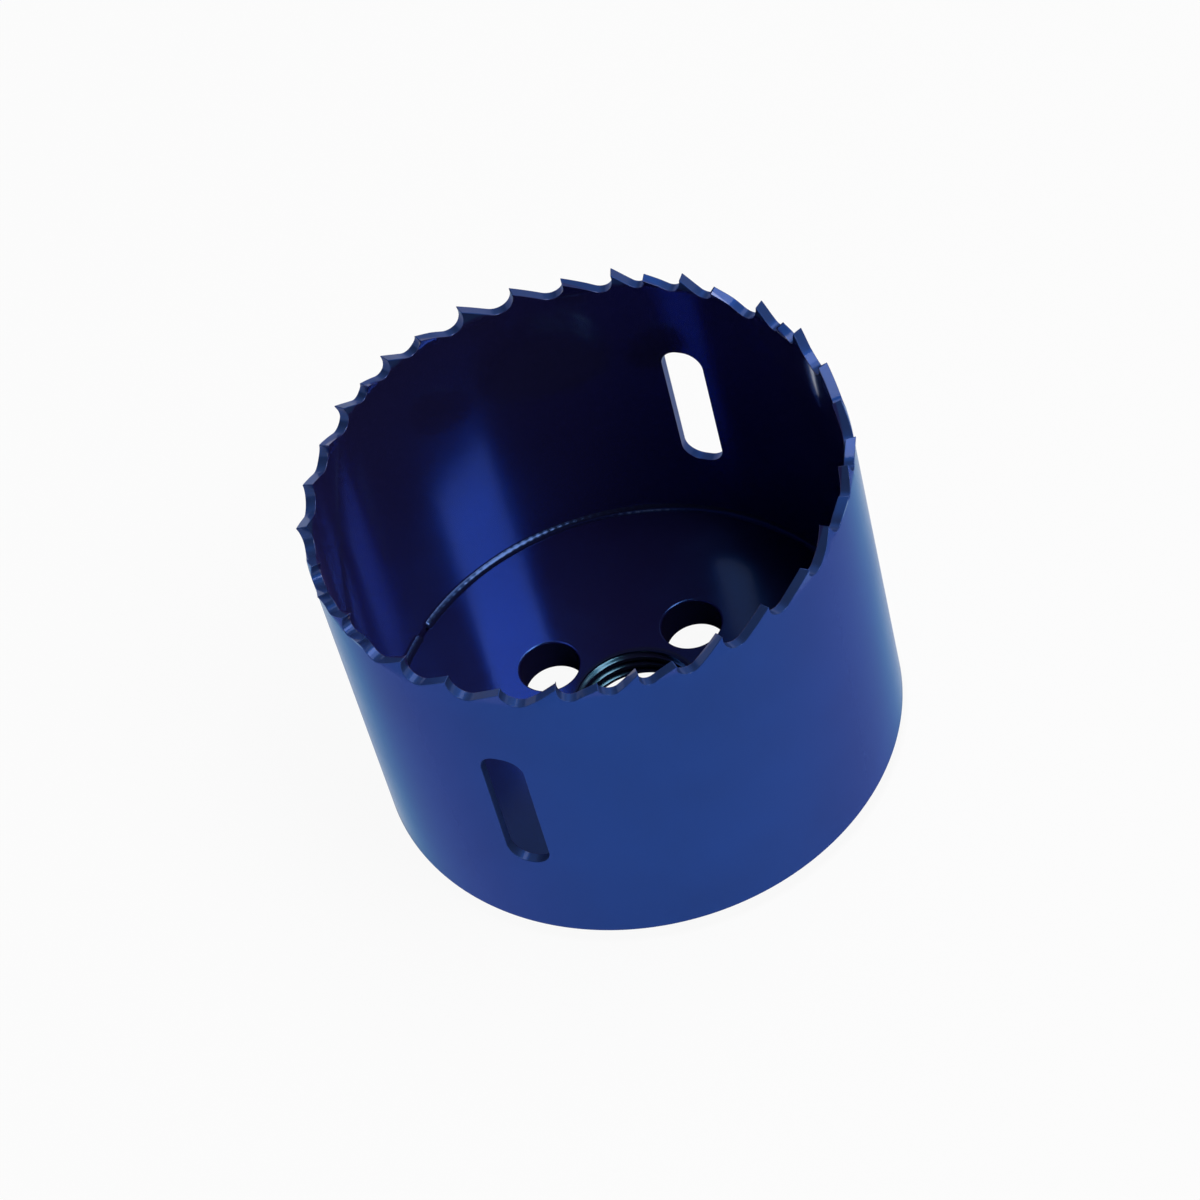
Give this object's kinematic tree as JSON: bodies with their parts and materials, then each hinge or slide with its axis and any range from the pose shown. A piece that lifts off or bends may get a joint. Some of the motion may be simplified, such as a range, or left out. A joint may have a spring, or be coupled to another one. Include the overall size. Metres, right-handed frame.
{
  "type": "hole saw",
  "caption": "Cup-shaped bi-metal hole saw with set teeth of varying pitch, two ejection slots, a threaded arbor hole and drive pin holes in its end plate.",
  "frame": {"origin": "centre of the end plate's underside, on the cutter's axis", "axes": "+Z along the cutter's axis towards the tooth tips; the two ejection slots lie on the X axis"},
  "size_m": [0.0639, 0.0636, 0.0459],
  "materials": {
    "cup_paint": "translucent blue enamel over steel, satin",
    "plate_paint": "translucent blue enamel over steel, thin in the thread",
    "bead_paint": "translucent blue enamel over a weld"
  },
  "bodies": {
    "root": {"toothed_cup": "cup_paint", "backing_plate": "plate_paint", "weld_bead": "bead_paint"}
  },
  "joints": []
}
